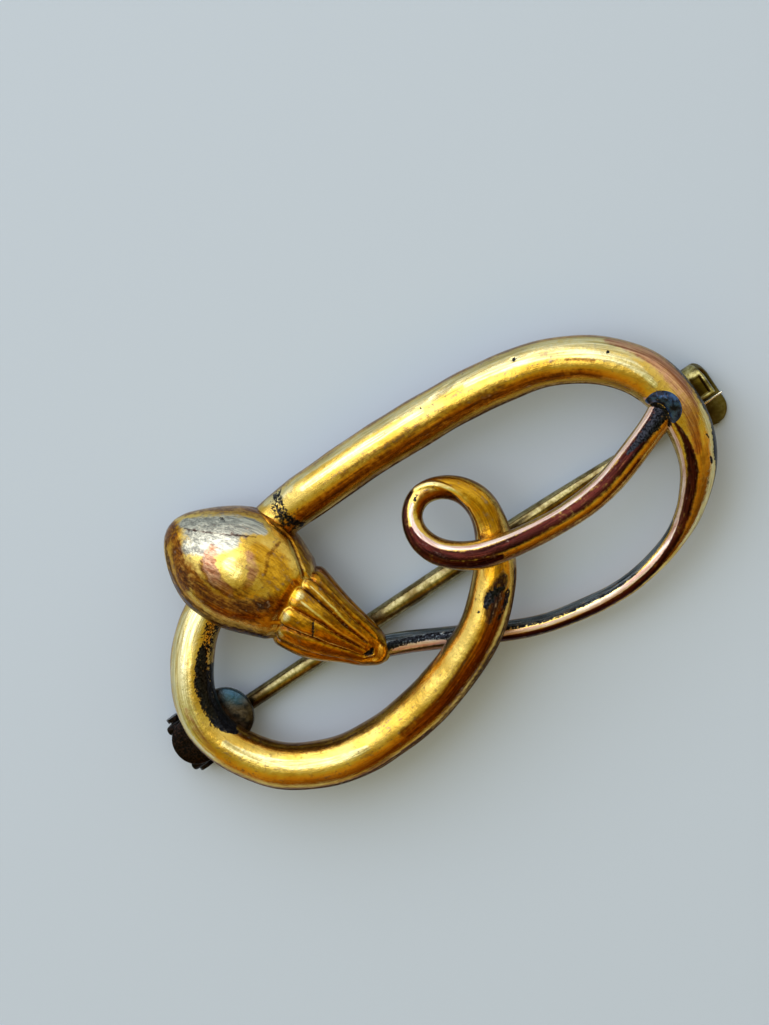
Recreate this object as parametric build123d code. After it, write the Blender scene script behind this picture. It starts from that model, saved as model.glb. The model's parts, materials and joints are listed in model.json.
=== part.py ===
# Snake brooch: two strands of tapered gold tube, a ribbed snake's head, and a pin with its hinge and catch.
# Units are millimetres. The brooch lies on its back: +Z is its front, and +X runs along the pin to the
# catch. It is laid out about the pin line: y = 0 on the pin, x = 0 halfway along the wire figure, z = 0 on
# the table. At the end all the pieces move together, so that the origin is under the middle of the brooch.
from build123d import *
from collections import namedtuple
from math import atan2, cos, degrees, pi, radians, sin
import os

# Wire figure, as long and as wide as it lies
figure_length = 38.0
figure_width = 18.0

# Round tube of the strands, at its full thickness
tube_diameter = 2.9

# Pin: a straight stem that thins to a point, on an eye
stem_diameter = 1.2
point_diameter = 0.1
eye_diameter = 1.3
eye_width = 1.7

# Hinge: a rivet through two ears, on a plate soldered behind the left ring
rivet_diameter = 0.56
rivet_height = 0.95
rivet_head_diameter = 1.0
rivet_head_thickness = 0.25
rivet_head_gap = 0.05
bore_clearance = 0.06
side_clearance = 0.15
ear_thickness = 0.6
plate_length = 5.9
plate_width = 3.0
plate_thickness = 0.5

# Catch: one strip bent to a C round the pin, with its mouth towards -Y
strip_thickness = 0.4
strip_width = 2.2
bend_reach = 2.5
lip_reach = 1.5
lip_corner = 0.8
leg_reach = 1.0
seat_gap = 0.05
point_overrun = 0.15

# How deep the plate and the catch are soldered into the strands, and the gap from pin to strands
solder_depth = 0.45
back_gap = 0.35

# Head, with the ribs round its snout and the pit between their ends; its axis is turned in plan from +X,
# and one rib lies at rib_turn degrees from the front
head_length = 15.55
head_width = 7.66
head_height = 6.6
head_turn = -64.4
rib_count = 10
rib_height = 0.35
rib_turn = 9.0
pit_diameter = 0.6

# Bead of solder where the tail meets the upper strand
bead_diameter = 2.5

# Points of the head's section for each rib, and the power that rounds the rib's top and sharpens the groove
points_per_rib = 6
rib_roundness = 0.7

# Places along the head's axis: its thick part, the end of the upper strand in the snout, and the pit
bulb_from_nape = 5.13
seat_from_tip = 1.17
pit_from_tip = 0.86

# Places along the figure, as shares of figure_length and figure_width
hinge_share = -0.5315
catch_share = 0.475
bulb_share = (-0.2816, 0.402)

# Row of the upper strand, counted from 0, that the tail is soldered to
tail_row = 11

# Strands: x is a share of figure_length, y of figure_width and thick of tube_diameter, and level is the
# height of the section's middle as a share of the height at which the full tube lies
Section = namedtuple("Section", "x y thick level")

# From inside the head along the top, round the right end, and back under the lower strand to the snout
upper_rows = [
    Section(-0.249, 0.454, 0.96, 0.70),
    Section(-0.172, 0.482, 0.96, 0.76),
    Section(-0.107, 0.489, 1.00, 0.88),
    Section(-0.010, 0.494, 1.00, 0.98),
    Section(0.086, 0.488, 1.00, 1.00),
    Section(0.174, 0.476, 1.00, 1.00),
    Section(0.256, 0.451, 0.99, 1.00),
    Section(0.314, 0.417, 0.98, 1.00),
    Section(0.363, 0.364, 0.99, 1.00),
    Section(0.403, 0.293, 1.00, 1.00),
    Section(0.432, 0.208, 1.01, 1.00),
    Section(0.446, 0.112, 0.99, 1.00),
    Section(0.446, 0.000, 0.94, 0.99),
    Section(0.431, -0.103, 0.84, 0.96),
    Section(0.412, -0.167, 0.73, 0.92),
    Section(0.387, -0.222, 0.63, 0.87),
    Section(0.346, -0.286, 0.49, 0.79),
    Section(0.286, -0.334, 0.43, 0.75),
    Section(0.215, -0.357, 0.41, 0.70),
    Section(0.139, -0.346, 0.42, 0.64),
    Section(0.064, -0.312, 0.42, 0.58),
    Section(-0.018, -0.236, 0.45, 0.55),
    Section(-0.076, -0.172, 0.46, 0.60),
    Section(-0.132, -0.108, 0.48, 0.74),
]

# From inside the head round the left ring, over the thin strand, round the small loop, and back over
# itself as the tail
lower_rows = [
    Section(-0.321, 0.381, 0.89, 0.70),
    Section(-0.371, 0.353, 0.89, 0.78),
    Section(-0.403, 0.306, 0.90, 0.87),
    Section(-0.434, 0.236, 0.92, 0.96),
    Section(-0.460, 0.145, 0.92, 1.00),
    Section(-0.472, 0.017, 0.93, 1.00),
    Section(-0.449, -0.120, 0.97, 1.00),
    Section(-0.411, -0.222, 1.00, 1.00),
    Section(-0.356, -0.292, 1.01, 1.00),
    Section(-0.305, -0.326, 1.01, 1.00),
    Section(-0.241, -0.335, 1.01, 1.02),
    Section(-0.156, -0.315, 1.01, 1.07),
    Section(-0.099, -0.283, 0.99, 1.13),
    Section(-0.053, -0.247, 0.97, 1.18),
    Section(-0.011, -0.205, 0.95, 1.22),
    Section(0.025, -0.149, 0.95, 1.22),
    Section(0.058, -0.081, 0.90, 1.20),
    Section(0.084, -0.003, 0.82, 1.19),
    Section(0.102, 0.081, 0.71, 1.20),
    Section(0.107, 0.160, 0.64, 1.25),
    Section(0.093, 0.239, 0.53, 1.34),
    Section(0.069, 0.280, 0.48, 1.44),
    Section(0.041, 0.289, 0.46, 1.53),
    Section(0.014, 0.250, 0.44, 1.62),
    Section(0.007, 0.179, 0.50, 1.72),
    Section(0.018, 0.115, 0.56, 1.79),
    Section(0.039, 0.069, 0.59, 1.84),
    Section(0.067, 0.033, 0.61, 1.87),
    Section(0.103, 0.007, 0.58, 1.85),
    Section(0.182, -0.022, 0.54, 1.72),
    Section(0.255, -0.029, 0.55, 1.53),
    Section(0.318, -0.007, 0.56, 1.38),
    Section(0.373, 0.032, 0.56, 1.25),
    Section(0.418, 0.070, 0.56, 1.15),
]

# Head, from nape to snout: along is a share of head_length, wide of head_width and high of head_height,
# back is the height of its back above the table as a share of head_height, side the middle's shift as one
# of head_width, and ribs the height of the ribs as a share of rib_height
HeadSection = namedtuple("HeadSection", "along wide high back side ribs")
head_rows = [
    HeadSection(0.001, 0.060, 0.060, 0.470, 0.020, 0.0),
    HeadSection(0.004, 0.120, 0.120, 0.440, 0.020, 0.0),
    HeadSection(0.012, 0.211, 0.211, 0.394, 0.020, 0.0),
    HeadSection(0.027, 0.317, 0.317, 0.341, 0.018, 0.0),
    HeadSection(0.048, 0.423, 0.423, 0.288, 0.015, 0.0),
    HeadSection(0.085, 0.570, 0.575, 0.212, 0.010, 0.0),
    HeadSection(0.145, 0.760, 0.775, 0.110, 0.010, 0.0),
    HeadSection(0.215, 0.915, 0.930, 0.030, 0.020, 0.0),
    HeadSection(0.300, 0.995, 1.000, 0.000, 0.037, 0.0),
    HeadSection(0.375, 0.990, 0.985, 0.010, 0.042, 0.0),
    HeadSection(0.450, 0.920, 0.910, 0.060, 0.048, 0.0),
    HeadSection(0.515, 0.815, 0.815, 0.135, 0.043, 0.0),
    HeadSection(0.552, 0.755, 0.750, 0.180, 0.037, 0.0),
    HeadSection(0.580, 0.735, 0.725, 0.200, 0.032, 0.9),
    HeadSection(0.620, 0.710, 0.695, 0.225, 0.025, 1.0),
    HeadSection(0.690, 0.650, 0.620, 0.280, 0.010, 0.9),
    HeadSection(0.775, 0.540, 0.510, 0.325, 0.005, 0.7),
    HeadSection(0.860, 0.415, 0.400, 0.345, 0.015, 0.5),
    HeadSection(0.930, 0.310, 0.310, 0.345, 0.010, 0.25),
    HeadSection(0.960, 0.235, 0.235, 0.370, 0.010, 0.0),
    HeadSection(0.985, 0.145, 0.145, 0.415, 0.010, 0.0),
    HeadSection(0.999, 0.050, 0.050, 0.460, 0.010, 0.0),
]

# Pin stem from the eye to its point: along is a share of its length and thick of stem_diameter
StemSection = namedtuple("StemSection", "along thick")
stem_rows = [
    StemSection(0.00, 0.82),
    StemSection(0.20, 0.87),
    StemSection(0.45, 1.00),
    StemSection(0.70, 0.89),
    StemSection(0.80, 0.66),
    StemSection(0.96, 0.24),
]

# What follows from the sizes above
strand_back = rivet_height + stem_diameter / 2 + back_gap
tube_level = strand_back + tube_diameter / 2
solder_level = strand_back + solder_depth
hinge_x = hinge_share * figure_length
catch_x = catch_share * figure_length
ear_inner = eye_width / 2 + side_clearance
ear_outer = ear_inner + ear_thickness
bore_diameter = rivet_diameter + 2 * bore_clearance
point_x = catch_x + strip_width / 2 + point_overrun
point_height = strip_thickness + seat_gap + stem_rows[-1].thick * stem_diameter / 2
up = Vector(0, 0, 1)
head_axis = Vector(cos(radians(head_turn)), sin(radians(head_turn)), 0)
head_across = Vector(-sin(radians(head_turn)), cos(radians(head_turn)), 0)


def head_line(along):
    """Point of the head's axis in plan, at a share of its length from the nape."""
    bulb_place = Vector(bulb_share[0] * figure_length, bulb_share[1] * figure_width, 0)
    return bulb_place + head_axis * (along * head_length - bulb_from_nape)


def head_size(along):
    """Half width, half height and middle of the head, straight between its rows."""
    for low, high in zip(head_rows, head_rows[1:]):
        if low.along <= along <= high.along:
            part = (along - low.along) / (high.along - low.along)
            row = HeadSection(*(a + (b - a) * part for a, b in zip(low, high)))
            height = (row.back + row.high / 2) * head_height
            middle = head_line(along) + head_across * (row.side * head_width) + up * height
            return row.wide * head_width / 2, row.high * head_height / 2, middle


def head_skin(along, turn):
    """Point on the head's skin, at an angle from the front towards +Y."""
    half_width, half_height, middle = head_size(along)
    turn = radians(turn)
    return middle + head_across * (half_width * sin(turn)) + up * (half_height * cos(turn))


def round_loft(stations):
    """Solid through round sections, each a point and a diameter, square to the path at that point."""
    sections = []
    last = len(stations) - 1
    for i, (point, diameter) in enumerate(stations):
        before = stations[max(i - 1, 0)][0]
        after = stations[min(i + 1, last)][0]
        along = after - before
        if 0 < i < last:
            step_in = point - before
            step_out = after - point
            ratio = step_out.length / step_in.length
            along = step_in * ratio + step_out / ratio
        plane = Plane(origin=point, x_dir=up.cross(along), z_dir=along)
        sections.append(plane * Circle(diameter / 2))
    return loft(sections)


def strand_stations(rows):
    """Points and diameters of a strand's rows."""
    stations = []
    for row in rows:
        point = Vector(row.x * figure_length, row.y * figure_width, row.level * tube_level)
        stations.append((point, row.thick * tube_diameter))
    return stations


def upper_stations():
    """Points and diameters of the upper strand, whose end is in the middle of the snout."""
    stations = strand_stations(upper_rows)
    seat = head_size(1 - seat_from_tip / head_length)[2]
    return [*stations, (seat, stations[-1][1])]


def lower_stations():
    """Points and diameters of the lower strand, whose tail ends in the upper strand."""
    stations = strand_stations(lower_rows)
    tail_seat = strand_stations(upper_rows)[tail_row][0]
    return [*stations, (tail_seat, stations[-1][1])]


def head_outline(row):
    """Section of the head: an oval whose edge dips between the ribs."""
    half_width, half_height, middle = head_size(row.along)
    points = []
    for i in range(rib_count * points_per_rib):
        turn = radians(rib_turn + i * 360 / (rib_count * points_per_rib))
        dip = row.ribs * rib_height * (1 - abs(cos(pi * i / points_per_rib)) ** rib_roundness)
        points.append(((half_width - dip) * sin(turn), (half_height - dip) * cos(turn)))
    plane = Plane(origin=middle, x_dir=head_across, z_dir=head_axis)
    return plane * make_face(Spline(*points, periodic=True))


def head():
    """Pear-shaped head with the ribs of its snout and the pit between their ends."""
    body = loft([head_outline(row) for row in head_rows])
    return body - Pos(head_skin(1 - pit_from_tip / head_length, -rib_turn)) * Sphere(pit_diameter / 2)


def solder_bead():
    """Round bead over the end of the tail."""
    tail_end, tail_seat = lower_stations()[-2:]
    return Pos((tail_end[0] + tail_seat[0]) / 2) * Sphere(bead_diameter / 2)


def hinge_plate():
    """Plate with round ends, soldered behind the ring, and the two ears that stand down from it."""
    ear_radius = rivet_height
    plate_bottom = solder_level - plate_thickness
    plate_left = hinge_x - ear_radius
    outline = SlotOverall(plate_length, plate_width)
    plate = Pos(plate_left + plate_length / 2, 0, plate_bottom) * extrude(outline, plate_thickness)
    square_end = Box(plate_width, plate_width, plate_thickness, align=(Align.MIN, Align.CENTER, Align.MIN))
    plate += Pos(plate_left, 0, plate_bottom) * square_end
    for side in (-1, 1):
        middle = Pos(hinge_x, side * (ear_inner + ear_outer) / 2, rivet_height)
        round_end = Cylinder(ear_radius, ear_thickness, rotation=(90, 0, 0))
        upright = Box(2 * ear_radius, ear_thickness, plate_bottom + plate_thickness / 2 - rivet_height,
                      align=(Align.CENTER, Align.CENTER, Align.MIN))
        plate += middle * (round_end + upright)
    bore = Cylinder(bore_diameter / 2, 2 * ear_outer + plate_width, rotation=(90, 0, 0))
    return plate - Pos(hinge_x, 0, rivet_height) * bore


def catch():
    """Strip bent to a C: a leg soldered to the strand's back, a round bend, and a lip under the pin."""
    outer = solder_level / 2
    inner = outer - strip_thickness
    bend_y = bend_reach - outer
    bend = Cylinder(outer, strip_width, rotation=(0, 90, 0))
    bend -= Cylinder(inner, strip_width, rotation=(0, 90, 0))
    bend &= Box(strip_width, outer, 2 * outer, align=(Align.CENTER, Align.MIN, Align.CENTER))
    leg = Box(strip_width, bend_y + leg_reach, strip_thickness, align=(Align.CENTER, Align.MAX, Align.MAX))
    lip_outline = Rectangle(strip_width, bend_y + lip_reach, align=(Align.CENTER, Align.MAX))
    mouth_corners = lip_outline.vertices().group_by(Axis.Y)[0]
    lip = extrude(fillet(mouth_corners, lip_corner), strip_thickness)
    strip = Pos(0, bend_y, outer) * bend + Pos(0, bend_y, 2 * outer) * leg + Pos(0, bend_y, 0) * lip
    return Pos(catch_x, 0, 0) * strip


def pin():
    """Tapered stem on its eye, bored for the rivet."""
    run = Vector(point_x - hinge_x, 0, point_height - rivet_height)
    edge = [(row.along * run.length, row.thick * stem_diameter / 2) for row in stem_rows]
    edge.append((run.length, point_diameter / 2))
    side = Spline(*edge)
    half = make_face(side + Polyline(edge[-1], (run.length, 0), (0, 0), edge[0]))
    stem = revolve(half, Axis.X)
    fall = degrees(atan2(-run.Z, run.X))
    body = Rot(0, fall, 0) * stem + Cylinder(eye_diameter / 2, eye_width, rotation=(90, 0, 0))
    body -= Cylinder(bore_diameter / 2, 2 * eye_width, rotation=(90, 0, 0))
    return Pos(hinge_x, 0, rivet_height) * body


def rivet():
    """Rivet with a round head outside each ear."""
    shank_length = 2 * (ear_outer + rivet_head_gap)
    body = Cylinder(rivet_diameter / 2, shank_length)
    for side in (-1, 1):
        head_middle = side * (shank_length + rivet_head_thickness) / 2
        body += Pos(0, 0, head_middle) * Cylinder(rivet_head_diameter / 2, rivet_head_thickness)
    return Pos(hinge_x, 0, rivet_height) * Rot(90, 0, 0) * body


def snake():
    """Everything that is soldered together."""
    body = head() + round_loft(upper_stations()) + round_loft(lower_stations())
    return body + solder_bead() + hinge_plate() + catch()


pieces = {"snake_body": snake(), "pin_stem": pin(), "hinge_rivet": rivet()}
boxes = [piece.bounding_box() for piece in pieces.values()]
low_x, high_x = min(box.min.X for box in boxes), max(box.max.X for box in boxes)
low_y, high_y = min(box.min.Y for box in boxes), max(box.max.Y for box in boxes)
low_z, high_z = min(box.min.Z for box in boxes), max(box.max.Z for box in boxes)
to_origin = Vector(-(low_x + high_x) / 2, -(low_y + high_y) / 2, -low_z)
os.makedirs("parts", exist_ok=True)
for name, piece in pieces.items():
    export_step(piece.moved(Location(to_origin)), f"parts/{name}.step")

print("brooch", high_x - low_x, high_y - low_y, high_z - low_z)
print("rivet", Vector(hinge_x, 0, rivet_height) + to_origin, "catch", Vector(catch_x, 0, 0) + to_origin)
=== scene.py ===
import bmesh
import bpy
import json
import math
import numpy as np
from collections import namedtuple
from mathutils import Matrix, Vector


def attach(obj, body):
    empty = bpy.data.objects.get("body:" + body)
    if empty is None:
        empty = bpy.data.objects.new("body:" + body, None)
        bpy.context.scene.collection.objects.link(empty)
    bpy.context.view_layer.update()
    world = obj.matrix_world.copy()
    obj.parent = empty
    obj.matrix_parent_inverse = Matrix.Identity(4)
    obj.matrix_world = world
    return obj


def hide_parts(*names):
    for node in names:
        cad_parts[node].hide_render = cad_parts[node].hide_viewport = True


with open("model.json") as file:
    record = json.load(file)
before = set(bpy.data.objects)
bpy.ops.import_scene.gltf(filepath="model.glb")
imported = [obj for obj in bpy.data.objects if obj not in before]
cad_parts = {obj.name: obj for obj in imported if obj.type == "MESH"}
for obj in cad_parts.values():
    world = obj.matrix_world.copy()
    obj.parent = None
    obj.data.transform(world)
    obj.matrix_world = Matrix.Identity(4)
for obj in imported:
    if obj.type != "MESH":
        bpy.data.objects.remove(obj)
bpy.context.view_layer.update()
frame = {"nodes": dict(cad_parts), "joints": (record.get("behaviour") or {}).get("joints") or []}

MM = 0.001
UP = np.array([0.0, 0.0, 1.0])

# Wire figure, as long and as wide as it lies, the round tube at its full thickness, the height of the tube's
# middle above the floor, and the height at which the hinge and the catch are soldered to its back
figure_length = 38.0
figure_width = 18.0
tube_diameter = 2.9
tube_level = 3.35
solder_level = 2.35

# Hinge: where its rivet lies, the ears that hold this, and the plate behind the left ring, of which the torch
# has blued one spot
hinge_x = -0.5315 * figure_length
rivet_height = 0.95
ear_inner = 1.0
ear_thickness = 0.6
ear_rounding = 0.26
ear_reach = 0.5
plate_length = 5.9
plate_width = 3.0
plate_thickness = 0.5
plate_rounding = 0.12
plate_reach = 0.78
plate_corner = 1.45
plate_end_radius = 1.76
plate_end_shift = 0.26
dome_rise = 0.22
blued_place = (-15.5, 1.35)
blued_reach = (0.5, 1.3)

# Catch: a strip bent to a C, with a window in its leg. The bend reaches towards +Y from the pin line and the
# lip towards -Y, and the leg ends short of the line
catch_x = 0.475 * figure_length
strip_thickness = 0.4
strip_width = 2.2
strip_rounding = 0.09
bend_reach = 2.5
lip_reach = 1.5
leg_reach = -0.44
window_x = (-0.1, 0.92)
window_y = (0.55, 1.75)
window_depth = 0.12
window_edge = 0.12
lip_shade = 0.8
lip_corner = 1.1
bend_corner = 0.45

# Head: its size, its thick part, and its axis, which is turned in plan from +X
head_length = 15.55
head_width = 7.66
head_height = 6.6
head_turn = math.radians(-64.4)
bulb_place = np.array([-0.2816 * figure_length, 0.402 * figure_width, 0.0])
bulb_from_nape = 5.13
head_axis = np.array([math.cos(head_turn), math.sin(head_turn), 0.0])
head_across = np.array([-math.sin(head_turn), math.cos(head_turn), 0.0])

# Where the strands end: the thin one this far from the snout's tip, and the tail at this row of the upper one
seat_from_tip = 1.17
tail_row = 11

# How fine the made surfaces are: the distance in mm between a strand's rings and the points in each, the
# head's rings and the points in each, and for the solder the size in mm of the grains that its drops are
# run together from, and how often it's smoothed
strand_step = 0.085
strand_sides = 108
head_rings = 300
head_sides = 220
solder_grain = 0.06
solder_rounds = 36

# Points round a plate's or strip's rounded edge, along an arc and along a plate's corner, rings over a
# plate's face, and points along the catch's leg, bend, lip and flat sides
edge_points = 6
arc_points = 40
corner_points = 12
face_rings = 24
leg_points = 30
bend_points = 36
lip_points = 40
face_points = 36

# Where the points on a plate's face begin and end, as shares of the way from its middle to its rim, and how
# far to each side those on the catch's flat sides go
face_span = (0.96, 0.04)
strip_face_span = 0.95

# Unevenness that polishing by hand leaves: how many waves, how long and how high, in mm, and the number that
# their random directions and places are drawn with
wave_count = 14
wave_lengths = (1.8, 4.5)
wave_height = 0.004
wave_seed = 5

# Most that any ridge or wave may stand above a piece's own form, below zero as a dent's depth is above it
max_rise = -0.12

# Brown film on the sides and the back, partly tarnish where no cloth reaches and partly painted shade along
# each tube's edges: the turns from the front between which it grows, and its strength
flank_turns = (math.radians(52), math.radians(82))
flank_strength = 0.72

# Along the hinge, from where painted shade blackens it to where it's bare, about the ring's outer edge
painted_shade_reach = (-18.9, -17.3)

# Along the pin, from where its brown film is thickest to where it ends
brown_reach = (-16.0, -12.5)

# Along the pin, from where the catch begins to rub its point to where it's bare, painted near white there as
# a highlight on the rubbed metal
rubbed_tip_highlight_reach = (16.6, 17.4)

# Strands: x is a share of figure_length, y of figure_width and thick of tube_diameter, and level is the
# height of the section's middle as a share of tube_level
Section = namedtuple("Section", "x y thick level")

# From inside the head along the top, round the right end, and back under the lower strand to the snout
upper_rows = [
    Section(-0.249, 0.454, 0.96, 0.70),
    Section(-0.172, 0.482, 0.96, 0.76),
    Section(-0.107, 0.489, 1.00, 0.88),
    Section(-0.010, 0.494, 1.00, 0.98),
    Section(0.086, 0.488, 1.00, 1.00),
    Section(0.174, 0.476, 1.00, 1.00),
    Section(0.256, 0.451, 0.99, 1.00),
    Section(0.314, 0.417, 0.98, 1.00),
    Section(0.363, 0.364, 0.99, 1.00),
    Section(0.403, 0.293, 1.00, 1.00),
    Section(0.432, 0.208, 1.01, 1.00),
    Section(0.446, 0.112, 0.99, 1.00),
    Section(0.446, 0.000, 0.94, 0.99),
    Section(0.431, -0.103, 0.84, 0.96),
    Section(0.412, -0.167, 0.73, 0.92),
    Section(0.387, -0.222, 0.63, 0.87),
    Section(0.346, -0.286, 0.49, 0.79),
    Section(0.286, -0.334, 0.43, 0.75),
    Section(0.215, -0.357, 0.41, 0.70),
    Section(0.139, -0.346, 0.42, 0.64),
    Section(0.064, -0.312, 0.42, 0.58),
    Section(-0.018, -0.236, 0.45, 0.55),
    Section(-0.076, -0.172, 0.46, 0.60),
    Section(-0.132, -0.108, 0.48, 0.74),
]

# From inside the head round the left ring, over the thin strand, round the small loop, and back over
# itself as the tail
lower_rows = [
    Section(-0.321, 0.381, 0.89, 0.70),
    Section(-0.371, 0.353, 0.89, 0.78),
    Section(-0.403, 0.306, 0.90, 0.87),
    Section(-0.434, 0.236, 0.92, 0.96),
    Section(-0.460, 0.145, 0.92, 1.00),
    Section(-0.472, 0.017, 0.93, 1.00),
    Section(-0.449, -0.120, 0.97, 1.00),
    Section(-0.411, -0.222, 1.00, 1.00),
    Section(-0.356, -0.292, 1.01, 1.00),
    Section(-0.305, -0.326, 1.01, 1.00),
    Section(-0.241, -0.335, 1.01, 1.02),
    Section(-0.156, -0.315, 1.01, 1.07),
    Section(-0.099, -0.283, 0.99, 1.13),
    Section(-0.053, -0.247, 0.97, 1.18),
    Section(-0.011, -0.205, 0.95, 1.22),
    Section(0.025, -0.149, 0.95, 1.22),
    Section(0.058, -0.081, 0.90, 1.20),
    Section(0.084, -0.003, 0.82, 1.19),
    Section(0.102, 0.081, 0.71, 1.20),
    Section(0.107, 0.160, 0.64, 1.25),
    Section(0.093, 0.239, 0.53, 1.34),
    Section(0.069, 0.280, 0.48, 1.44),
    Section(0.041, 0.289, 0.46, 1.53),
    Section(0.014, 0.250, 0.44, 1.62),
    Section(0.007, 0.179, 0.50, 1.72),
    Section(0.018, 0.115, 0.56, 1.79),
    Section(0.039, 0.069, 0.59, 1.84),
    Section(0.067, 0.033, 0.61, 1.87),
    Section(0.103, 0.007, 0.58, 1.85),
    Section(0.182, -0.022, 0.54, 1.72),
    Section(0.255, -0.029, 0.55, 1.53),
    Section(0.318, -0.007, 0.56, 1.38),
    Section(0.373, 0.032, 0.56, 1.25),
    Section(0.418, 0.070, 0.56, 1.15),
]

# Head, from nape to snout: along is a share of head_length, wide of head_width and high of head_height,
# back is the height of its back above the floor as a share of head_height, and side the middle's shift
# as one of head_width
HeadSection = namedtuple("HeadSection", "along wide high back side")
head_rows = [
    HeadSection(0.001, 0.060, 0.060, 0.470, 0.020),
    HeadSection(0.004, 0.120, 0.120, 0.440, 0.020),
    HeadSection(0.012, 0.211, 0.211, 0.394, 0.020),
    HeadSection(0.027, 0.317, 0.317, 0.341, 0.018),
    HeadSection(0.048, 0.423, 0.423, 0.288, 0.015),
    HeadSection(0.085, 0.570, 0.575, 0.212, 0.010),
    HeadSection(0.145, 0.760, 0.775, 0.110, 0.010),
    HeadSection(0.215, 0.915, 0.930, 0.030, 0.020),
    HeadSection(0.300, 0.995, 1.000, 0.000, 0.037),
    HeadSection(0.375, 0.990, 0.985, 0.010, 0.042),
    HeadSection(0.450, 0.920, 0.910, 0.060, 0.048),
    HeadSection(0.515, 0.815, 0.815, 0.135, 0.043),
    HeadSection(0.552, 0.755, 0.750, 0.180, 0.037),
    HeadSection(0.580, 0.735, 0.725, 0.200, 0.032),
    HeadSection(0.620, 0.710, 0.695, 0.225, 0.025),
    HeadSection(0.690, 0.650, 0.620, 0.280, 0.010),
    HeadSection(0.775, 0.540, 0.510, 0.325, 0.005),
    HeadSection(0.860, 0.415, 0.400, 0.345, 0.015),
    HeadSection(0.930, 0.310, 0.310, 0.345, 0.010),
    HeadSection(0.960, 0.235, 0.235, 0.370, 0.010),
    HeadSection(0.985, 0.145, 0.145, 0.415, 0.010),
    HeadSection(0.999, 0.050, 0.050, 0.460, 0.010),
]

# Grooves between the ribs of the snout: where each lies round the head, in degrees from the front, at its
# start, its middle and its end; the rib on the groove's upper side begins at rib_start mm from the nape
Groove = namedtuple("Groove", "start middle end rib_start")
grooves = [
    Groove(-158, -160, -162, 8.8),
    Groove(-124, -126, -128, 8.8),
    Groove(-88, -88, -90, 8.9),
    Groove(-54, -46, -50, 8.9),
    Groove(-24, -14, -18, 8.65),
    Groove(4, 12, 0, 8.6),
    Groove(36, 36, 20, 8.8),
    Groove(53, 58, 46, 9.0),
    Groove(80, 84, 84, 9.0),
    Groove(122, 122, 122, 8.8),
    Groove(162, 161, 160, 8.8),
]

# The grooves' start, middle and end in mm from the nape, their depth, the length over which a rib's start is
# rounded, and how much brown film the tops of the ribs keep
groove_start_at = 8.7
groove_middle_at = 11.2
groove_end_at = 14.1
groove_depth = 0.30
rib_end_reach = 0.55
rib_film = 0.40

# How far before and after its end a groove runs out, and how far before and after its rib's start it begins
groove_fade = (0.6, 0.3)
groove_rise = (0.5, 0.15)

# Power of a rib's section, where 0.5 would give half an ellipse
rib_power = 0.55

# Films of the snout: the length in mm over which they grow from the grooves' start, and the shares of the
# grooves' depth between which the brown and the umber one do
ribbed_reach = 0.6
brown_depths = (0.10, 0.50)
umber_depths = (0.62, 1.0)

# Solder that ran round the tail's end: places along its ridge and its radius there, and the pool inside it
Drop = namedtuple("Drop", "x y z radius")
solder_ridge = [
    Drop(15.98, 2.40, 4.20, 0.34),
    Drop(16.35, 2.46, 4.38, 0.42),
    Drop(16.66, 2.30, 4.48, 0.48),
    Drop(16.90, 1.96, 4.52, 0.50),
    Drop(17.00, 1.56, 4.52, 0.50),
    Drop(16.95, 1.18, 4.50, 0.48),
    Drop(16.78, 0.84, 4.42, 0.44),
    Drop(16.48, 0.58, 4.26, 0.34),
]
solder_pool = Drop(16.50, 1.60, 3.92, 0.66)
ridge_drops = 40

# Films on the gold, from the lowest up: their two colours, the pattern that mixes these and breaks the
# film's edge, how far it breaks it, how soft the edge is, and how rough and how metallic the film is
Film = namedtuple("Film", "kind light dark pattern ragged soft roughness metallic")
films = [
    Film("amber", "#E8AE2C", "#B27E1C", "drawn", 1.1, 0.42, 0.18, 1.0),
    Film("brown", "#A0621C", "#56290A", "drawn", 1.1, 0.42, 0.24, 1.0),
    Film("umber", "#421C06", "#140702", "drawn", 1.0, 0.40, 0.75, 0.0),
    Film("slate", "#8C9AA4", "#2E363E", "drawn", 1.0, 0.36, 0.26, 0.85),
    Film("pale", "#FBF1BE", "#C2AE6C", "drawn", 1.1, 0.42, 0.19, 1.0),
    Film("silver", "#DEDAC6", "#86857C", "drawn", 1.1, 0.40, 0.20, 1.0),
    Film("copper", "#E2AC84", "#9A6040", "drawn", 1.1, 0.42, 0.20, 1.0),
    Film("maroon", "#54241E", "#1E0A08", "drawn", 1.1, 0.38, 0.18, 0.85),
    # Rose film: painted highlights where light catches rose metal
    Film("rose", "#FFF0E8", "#D0A498", "drawn", 1.0, 0.40, 0.24, 0.55),
    # Bright film: painted highlights on edges, crests and spots
    Film("bright", "#FFF4B8", "#F0CC6C", "drawn", 0.8, 0.34, 0.15, 1.0),
    Film("soot", "#2E313A", "#08070A", "gritty", 1.7, 0.14, 0.26, 0.75),
]

# Where a film's mask has this value it half covers what lies under it
mask_middle = 0.5

# Height in mm of the topmost film's crust
crust_height = 0.005

# Level of the light that dry dirt mirrors, where a film isn't all metal
dirt_glint = 0.1
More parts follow.
